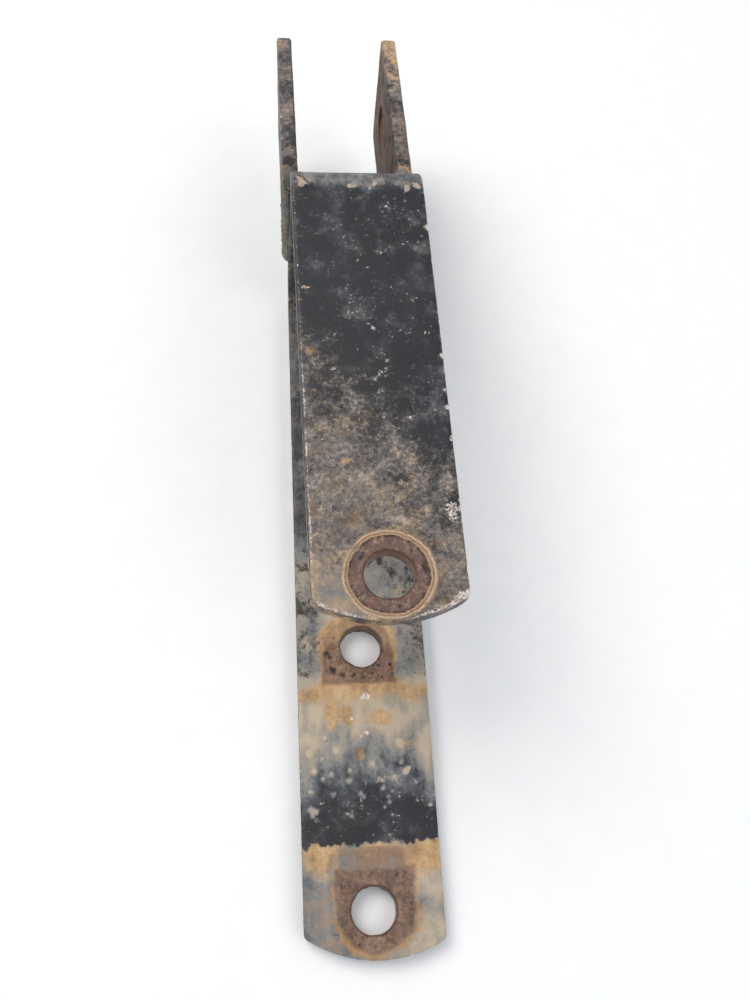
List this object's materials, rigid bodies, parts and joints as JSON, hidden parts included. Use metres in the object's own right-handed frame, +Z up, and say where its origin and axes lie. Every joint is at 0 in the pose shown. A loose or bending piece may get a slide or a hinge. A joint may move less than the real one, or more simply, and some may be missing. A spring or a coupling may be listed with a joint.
{
  "type": "toggle bolt latch bracket",
  "caption": "Flat-bar clamp bracket bent into a C with one long and one short leg, bolt holes through both legs, and a two-eared fork welded to the back of the web.",
  "frame": {"origin": "centre of the overall footprint, on the underside of the long leg", "axes": "+Z up from the long leg to the short leg, +Y along the bar from the open jaw to the ears, +X across the bar to the right when looking along +Y"},
  "size_m": [0.043, 0.2932, 0.07],
  "materials": {
    "painted_bar": "worn satin black paint over rusted steel",
    "weld_metal": "rippled weld bead, thin paint and light rust"
  },
  "bodies": {
    "root": {"strap": "painted_bar", "ear_left": "painted_bar", "ear_right": "painted_bar", "weld_left_inner": "weld_metal", "weld_left_outer": "weld_metal", "weld_left_top": "weld_metal", "weld_right_inner": "weld_metal", "weld_right_outer": "weld_metal", "weld_right_top": "weld_metal"}
  },
  "joints": []
}
